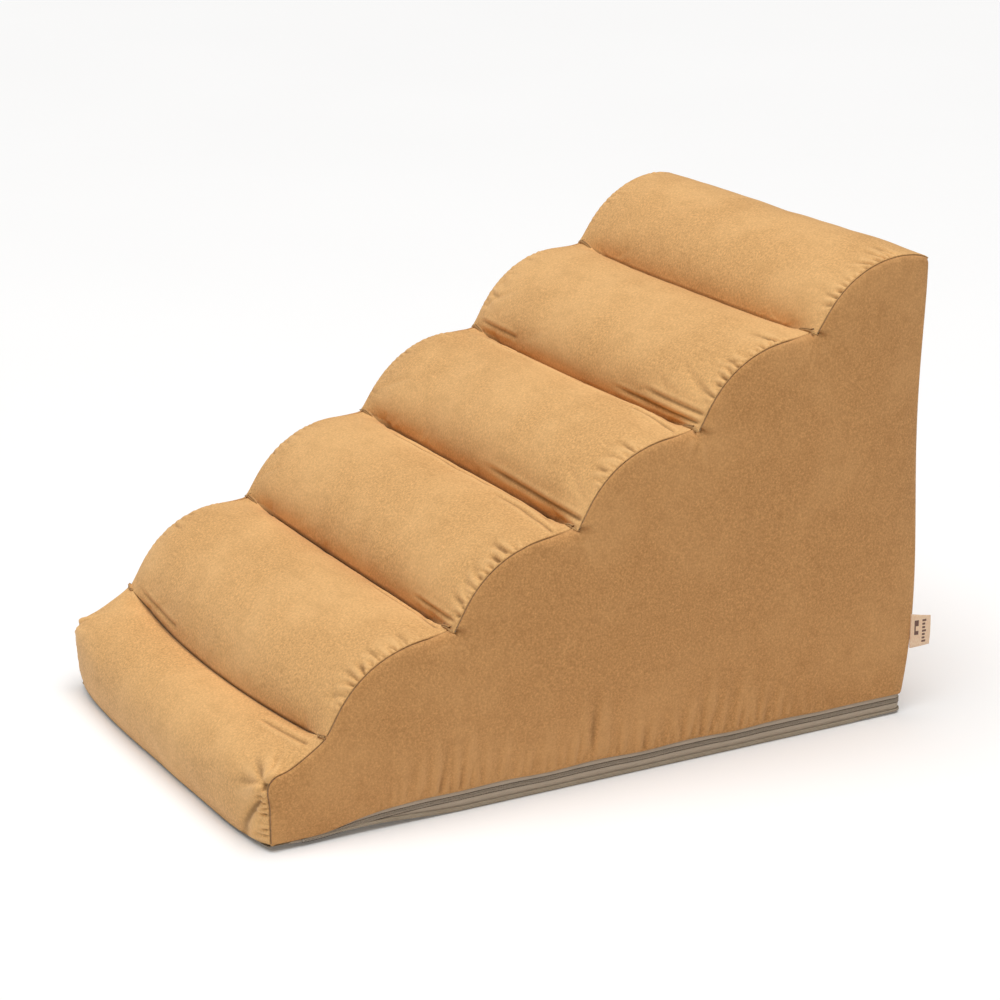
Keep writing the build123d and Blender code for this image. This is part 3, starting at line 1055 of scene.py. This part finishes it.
# plain weave seen as fine crossing threads
def wovenMaterial(name, light, dark, pitch, rough=0.8):
    material, tree, shader, place = startMaterial(name)
    waves = [addNode(tree, "ShaderNodeTexWave", {"Vector": place, "Scale": pitch, "Distortion": 0.8},
                     bands_direction=direction).outputs["Fac"] for direction in ("X", "Z")]
    cross = combine(tree, "MULTIPLY", *waves)
    dirt = grainNoise(tree, place, 60, 4)
    colour = mixColour(tree, spread(tree, cross, 0.1, 0.9, 0.1, 0.8), dark, light)
    feed(tree, shader, {
        "Base Color": mixColour(tree, spread(tree, dirt, 0, 0.4, 0.45, 0.75), colour, dark),
        "Roughness": spread(tree, dirt, rough - 0.08, rough + 0.1),
        "Specular IOR Level": 0.3,
        "Sheen Weight": 0.12,
    })
    putBump(tree, shader, [(cross, 0.5, 0.00025), (dirt, 0.2, 0.0004)])
    return material


def threadMaterial(name, light, dark, rough):
    material, tree, shader, place = startMaterial(name)
    twist = grainNoise(tree, place, 900, 2)
    feed(tree, shader, {"Base Color": mixColour(tree, spread(tree, twist, 0, 1), dark, light),
                        "Roughness": spread(tree, twist, rough - 0.1, rough + 0.1)})
    putBump(tree, shader, [(twist, 0.3, 0.0001)])
    return material


def metalMaterial():
    material, tree, shader, place = startMaterial("zipMetal")
    rub = grainNoise(tree, place, 240, 4)
    scratch = grainNoise(tree, place, 500, 3, (1, 0.12, 1))
    feed(tree, shader, {
        "Base Color": mixColour(tree, spread(tree, rub, 0, 1), (0.20, 0.17, 0.14), (0.36, 0.32, 0.27)),
        "Metallic": 1.0,
        "Roughness": spread(tree, scratch, 0.28, 0.48),
    })
    putBump(tree, shader, [(scratch, 0.15, 0.0001), (rub, 0.1, 0.0001)])
    return material


def foamMaterial():
    material, tree, shader, place = startMaterial("blockFoam")
    cells = addNode(tree, "ShaderNodeTexVoronoi", {"Vector": place, "Scale": 520}).outputs["Distance"]
    tone = grainNoise(tree, place, 12, 3)
    colour = mixColour(tree, spread(tree, tone, 0, 1), (0.80, 0.75, 0.62), (0.88, 0.84, 0.72))
    colour = mixColour(tree, spread(tree, cells, 0, 0.35, 0.3, 0.8), colour, (0.5, 0.46, 0.36))
    feed(tree, shader, {"Base Color": colour, "Roughness": spread(tree, tone, 0.85, 0.97)})
    putBump(tree, shader, [(cells, 0.6, 0.0006), (tone, 0.2, 0.002)])
    return material


suede = suedeMaterial("camelSuede", (1, 1, 1))
# painted shade: a darker, warmer copy of the suede for the sides and back
shadedSideSuede = suedeMaterial("camelSuedeSidePaintedShade", (0.79, 0.705, 0.65))
tapeCloth = wovenMaterial("zipTapeWeave", (0.66, 0.545, 0.42), (0.47, 0.38, 0.285), 420)
baseCloth = wovenMaterial("baseCanvas", (0.50, 0.41, 0.30), (0.33, 0.26, 0.185), 260, 0.85)
coilThread = threadMaterial("coilNylon", (0.50, 0.41, 0.31), (0.32, 0.255, 0.19), 0.42)
sewThread = threadMaterial("sewingThread", (0.13, 0.098, 0.07), (0.07, 0.05, 0.035), 0.6)
metal = metalMaterial()
foam = foamMaterial()
for name, piece in coverPieces.items():
    # the sides and back take the painted-shade copy of the suede
    piece.data.materials.append(shadedSideSuede if name in ("left", "right", "back") else suede)
for piece in (upperTape, lowerTape):
    piece.data.materials.append(tapeCloth)

coilTree, stitchTree = threadTree(True), threadTree(False)


# a line along the zip at a given height, a little out from the tape
def zipLine(out, height, skip=4):
    stack = np.stack([zipPath[:, 0] + out * zipPath[:, 2], zipPath[:, 1] + out * zipPath[:, 3], height], 1)
    return stack[skip:-skip]


# each row of turns or stitches: how far out and how far from the chain's middle
coilRow = dict(tree=coilTree, paint=coilThread, out=0.0009, away=0.00085, slot="zip_coil",
               sizes=dict(Spacing=0.0013, Radius=0.00042, Length=0.0017))
seamRow = dict(tree=stitchTree, paint=sewThread, out=0.0010, away=0.0023, slot="zip_tape",
               sizes=dict(Spacing=0.0026, Radius=0.00026, Length=0.0023))
for word, row in (("zip_coil", coilRow), ("stitches", seamRow)):
    for end, side, body in (("top", 1, "upper"), ("bottom", -1, "base")):
        line = zipLine(row["out"], levels["chain"] + side * row["away"])
        piece = repeatAlong(f"{word}_{end}", line, row["tree"], row["sizes"], row["paint"])
        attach(piece, body)
        if row is coilRow:
            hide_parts("zip_coil_upper" if side > 0 else "zip_coil_lower")

# the stop at the chain's front end, clamped on the tape of the base
stopCut = dict(at=4, out=0.0009, half=(0.0012, 0.0013, 0.0016), round=0.0004)
stopRow = zipPath[stopCut["at"]]
stopMiddle = np.array([stopRow[0] + stopCut["out"], stopRow[1], levels["chain"][stopCut["at"]]])
corners = np.array([(x, y, z) for x in (-1, 1) for y in (-1, 1) for z in (-1, 1)])
zipStop = meshFrom("zip_stop_front", stopMiddle + corners * stopCut["half"],
                   [(0, 1, 3, 2), (4, 6, 7, 5), (0, 4, 5, 1), (2, 3, 7, 6), (0, 2, 6, 4), (1, 5, 7, 3)])
stopEdges = zipStop.modifiers.new("edges", "BEVEL")
stopEdges.width = stopCut["round"]
stopEdges.segments = 2
zipStop.data.materials.append(metal)
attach(zipStop, "base")
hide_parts("zip_bottom_stop")
print("zip repeats done")


# base: a sheet under the block with a low lip on three sides
# once round the base, with each point's outward way
def baseRim():
    path = zipPath[:, :5].copy()
    path[:, 0] += 0.0013 * path[:, 2]
    path[:, 1] += 0.0020 * path[:, 3]
    across = np.linspace(-halfWidth + 0.004, halfWidth - 0.004, 110)
    bow = 0.0062 * (1 - np.abs(across / halfWidth) ** 3) ** 0.8
    front = np.stack([across, frontY + 0.0030 - bow, 0 * across, -1 + 0 * across, np.sign(across)], 1)
    return np.concatenate([path, front]), len(path)


rim, lipCount = baseRim()
rimLevels = bandLevels(rim)
isLip = np.arange(len(rim)) < lipCount
frontLift = 0.0045 * np.abs(rim[:, 0] / halfWidth) ** 5
under = np.where(isLip, rimLevels["under"], frontLift)
lipTop = np.where(isLip, rimLevels["lip"], frontLift + 0.0012)
lipTop = np.maximum(lipTop, under + 0.0008)
centre = np.array([0, (frontY + backY) / 2])
rings = []
for out, share, height in ((0, 1, 1), (0.0003, 1, 0.55), (0.0002, 1, 0.18), (-0.0012, 1, 0)):
    rings.append(np.stack([rim[:, 0] + out * rim[:, 2], rim[:, 1] + out * rim[:, 3],
                           under * (1 - height) + lipTop * height], 1))
for share in (0.985, 0.96, 0.92, 0.86, 0.75, 0.6, 0.4, 0.2):
    flat = centre + (rim[:, :2] - centre) * share
    rings.append(np.concatenate([flat, (under * smooth(share, 0.80, 1.0))[:, None]], 1))
ringCount, rimCount = len(rings), len(rim)
basePoints = np.concatenate(rings + [np.array([[0, centre[1], 0]])])
baseFaces = []
for ringNumber in range(ringCount - 1):
    for k in range(rimCount):
        a, b = ringNumber * rimCount + k, ringNumber * rimCount + (k + 1) % rimCount
        baseFaces.append([a, a + rimCount, b + rimCount, b])
lastRing = (ringCount - 1) * rimCount
for k in range(rimCount):
    baseFaces.append([lastRing + k, len(basePoints) - 1, lastRing + (k + 1) % rimCount])
base = meshFrom("base_canvas", basePoints, baseFaces)
closeSheet(base, clothThickness)
base.data.materials.append(baseCloth)
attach(base, "base")
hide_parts("base_panel")


# foam block, seen when the cover is opened
def foamBlock():
    middle = len(grid["columns"]) // 2
    rows = grid["topIndex"][:, middle]
    profile = points[rows][:, 1:]
    away = np.minimum(grid["outline"]["after"], grid["outline"]["before"])
    inward = -outlineNormals(profile)
    profile = profile + inward * (0.0070 + 0.017 * np.exp(-away / 0.022))[:, None]
    profile[:, 1] -= 0.007 * smooth(profile[:, 0], 0.20, 0.33)
    keep = profile[::2]
    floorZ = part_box("foam_core")[0].z + 0.0004
    low = frontY + 0.012
    keep = keep[(keep[:, 0] > low) & (keep[:, 1] > 0.02)]
    rear = float(rearEdge(0.25)) - 0.014
    keep = keep[keep[:, 0] < rear]
    outline = [(low, floorZ + 0.004), *[tuple(p) for p in keep], (rear, keep[-1][1] - 0.004),
               (rear - 0.006, floorZ)]
    across = np.linspace(-halfWidth + 0.018, halfWidth - 0.018, 25)
    count = len(outline)
    stack = np.array([[x, y, z] for x in across for y, z in outline])
    stack = leanLeft(stack)
    faces = []
    for k in range(len(across) - 1):
        for j in range(count):
            a, b = k * count + j, k * count + (j + 1) % count
            faces.append([a, b, b + count, a + count])
    faces.append(list(range(count))[::-1])
    faces.append([(len(across) - 1) * count + j for j in range(count)])
    return meshFrom("foam_block", stack, faces)


foamPiece = foamBlock()
foamPiece.data.materials.append(foam)
edges = foamPiece.modifiers.new("edges", "BEVEL")
edges.width = 0.004
edges.segments = 3
edges.limit_method = "ANGLE"
edges.angle_limit = math.radians(50)
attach(foamPiece, "upper")
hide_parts("foam_core")
print("base and foam done")


# side label: a folded ribbon sewn into the rear seam
labelShape = dict(
    rootY=float(rearEdge(0.083)) - 0.001,
    foldY=labelBox[0].y + 0.0115,
    low=labelBox[0].z,
    high=labelBox[1].z,
    curl=0.0014,
    gap=0.0010,
)


# one ribbon out from the seam, round the fold and back
def labelStrip(name):
    shape = labelShape
    fromY, toY = shape["rootY"], shape["foldY"]
    ys = list(np.linspace(fromY, toY, 28))
    path = [(y, 0.0) for y in ys]
    for angle in np.linspace(0, math.pi, 7)[1:-1]:
        path.append((toY + 0.5 * shape["gap"] * math.sin(angle),
                     -0.5 * shape["gap"] * (1 - math.cos(angle))))
    path += [(y, -shape["gap"]) for y in ys[::-1]]
    rows = []
    for y, back in path:
        share = (y - shape["rootY"]) / (shape["foldY"] - shape["rootY"])
        sway = shape["curl"] * math.sin(share * 2.2)
        for t in np.linspace(0, 1, 11):
            low = shape["low"] + 0.0018 * share
            high = shape["high"] - 0.0034 * share
            lift = 0.0008 * share * math.sin(t * math.pi) + 0.0006 * share * t
            rows.append((0.2270 + sway + lift + back, y, low + (high - low) * t - 0.0007 * share))
    count = len(path)
    faces = [[k * 11 + j, (k + 1) * 11 + j, (k + 1) * 11 + j + 1, k * 11 + j + 1]
             for k in range(count - 1) for j in range(10)]
    piece = meshFrom(name, rows, faces)
    closeSheet(piece, 0.0003)
    return piece


# cream satin with a plain dark device and a few short bars, no letters
def labelMaterial():
    material, tree, shader, place = startMaterial("labelRibbon")
    apart = addNode(tree, "ShaderNodeSeparateXYZ", {0: place})
    y, z = apart.outputs["Y"], apart.outputs["Z"]

    def band(value, low, high):
        soft = 0.0001
        edges = [spread(tree, value, start, stop, edge - soft, edge + soft, interpolation_type="SMOOTHSTEP")
                 for edge, start, stop in ((low, 0, 1), (high, 1, 0))]
        return combine(tree, "MULTIPLY", *edges)

    def block(fromY, toY, fromZ, toZ):
        root = labelShape["rootY"]
        return combine(tree, "MULTIPLY", band(y, root + fromY, root + toY), band(z, fromZ, toZ))

    mark = combine(tree, "SUBTRACT", block(0.0040, 0.0085, 0.079, 0.094), block(0.0055, 0.0085, 0.083, 0.088))
    for k in range(7):
        low = 0.0705 + 0.0036 * k
        bar = block(0.0125, 0.0158 if k % 3 else 0.0170, low, low + 0.0022)
        mark = combine(tree, "MAXIMUM", mark, bar)
    weave = grainNoise(tree, place, 1100, 2, (1, 1, 0.4))
    cream = mixColour(tree, spread(tree, weave, 0, 1), (0.84, 0.55, 0.34), (0.92, 0.68, 0.47))
    feed(tree, shader, {
        "Base Color": mixColour(tree, mark, cream, (0.16, 0.07, 0.045)),
        "Roughness": spread(tree, weave, 0.45, 0.62),
        "Sheen Weight": 0.2,
    })
    putBump(tree, shader, [(weave, 0.25, 0.0001)])
    return material


labelCloth = labelMaterial()
label = labelStrip("side_ribbon")
label.data.materials.append(labelCloth)
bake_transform(label)
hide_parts("side_label")

for name in ("zip_slider_body", "zip_pull_tab", "zip_top_stop_lower", "zip_top_stop_upper"):
    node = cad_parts[name]
    node.data.materials.clear()
    node.data.materials.append(metal)


# floor, light and camera
floor = meshFrom("floor", [(-40, -40, 0), (40, -40, 0), (40, 40, 0), (-40, 40, 0)], [(0, 1, 2, 3)])
floor.location.z = -0.0002
floorPaint, floorTree, floorShader, floorPlace = startMaterial("paleFloor")
floorTone = grainNoise(floorTree, floorPlace, 1.5, 2)
feed(floorTree, floorShader, {
    "Base Color": mixColour(floorTree, floorTone, (0.925,) * 3, (0.935,) * 3),
    "Roughness": spread(floorTree, floorTone, 0.85, 0.95),
    "Emission Color": (1, 1, 1),
    "Emission Strength": 0.08,
})
floor.data.materials.append(floorPaint)

world = bpy.data.worlds.new("studio")
bpy.context.scene.world = world
world.use_nodes = True
feed(world.node_tree, world.node_tree.nodes["Background"], {"Color": (1, 0.95, 0.89), "Strength": 0.10})


def aimAlong(holder, direction):
    holder.rotation_euler = direction.to_track_quat("-Z", "Y").to_euler()


sun = bpy.data.lights.new("overhead", "SUN")
sun.energy = 2.75
sun.angle = math.radians(62)
aimAlong(addObject("overhead", sun), Vector((-0.14, 0.10, -1)))

lamps = [
    dict(name="top", size=1.2, power=4, at=(-0.2, 0.25, 2.1), to=(0, 0.1, 0.3)),
    dict(name="front", size=1.4, power=0.8, at=(0.9, -2.6, 1.3), to=(0, 0, 0.2)),
]
for lamp in lamps:
    light = bpy.data.lights.new(lamp["name"], "AREA")
    light.size = lamp["size"]
    light.energy = lamp["power"]
    holder = addObject(lamp["name"], light)
    holder.location = lamp["at"]
    aimAlong(holder, Vector(lamp["to"]) - Vector(lamp["at"]))

view = dict(at=(2.4312, -1.3302, 1.1180), to=(-0.4534, 0.2571, 0.0355), lens=107.83, sensor=36)
camera = addObject("camera", bpy.data.cameras.new("camera"))
camera.location = view["at"]
aimAlong(camera, Vector(view["to"]) - camera.location)
camera.data.sensor_width = view["sensor"]
camera.data.lens = view["lens"]
bpy.context.scene.camera = camera
bpy.context.scene.view_settings.view_transform = "Standard"

print("scene ready")
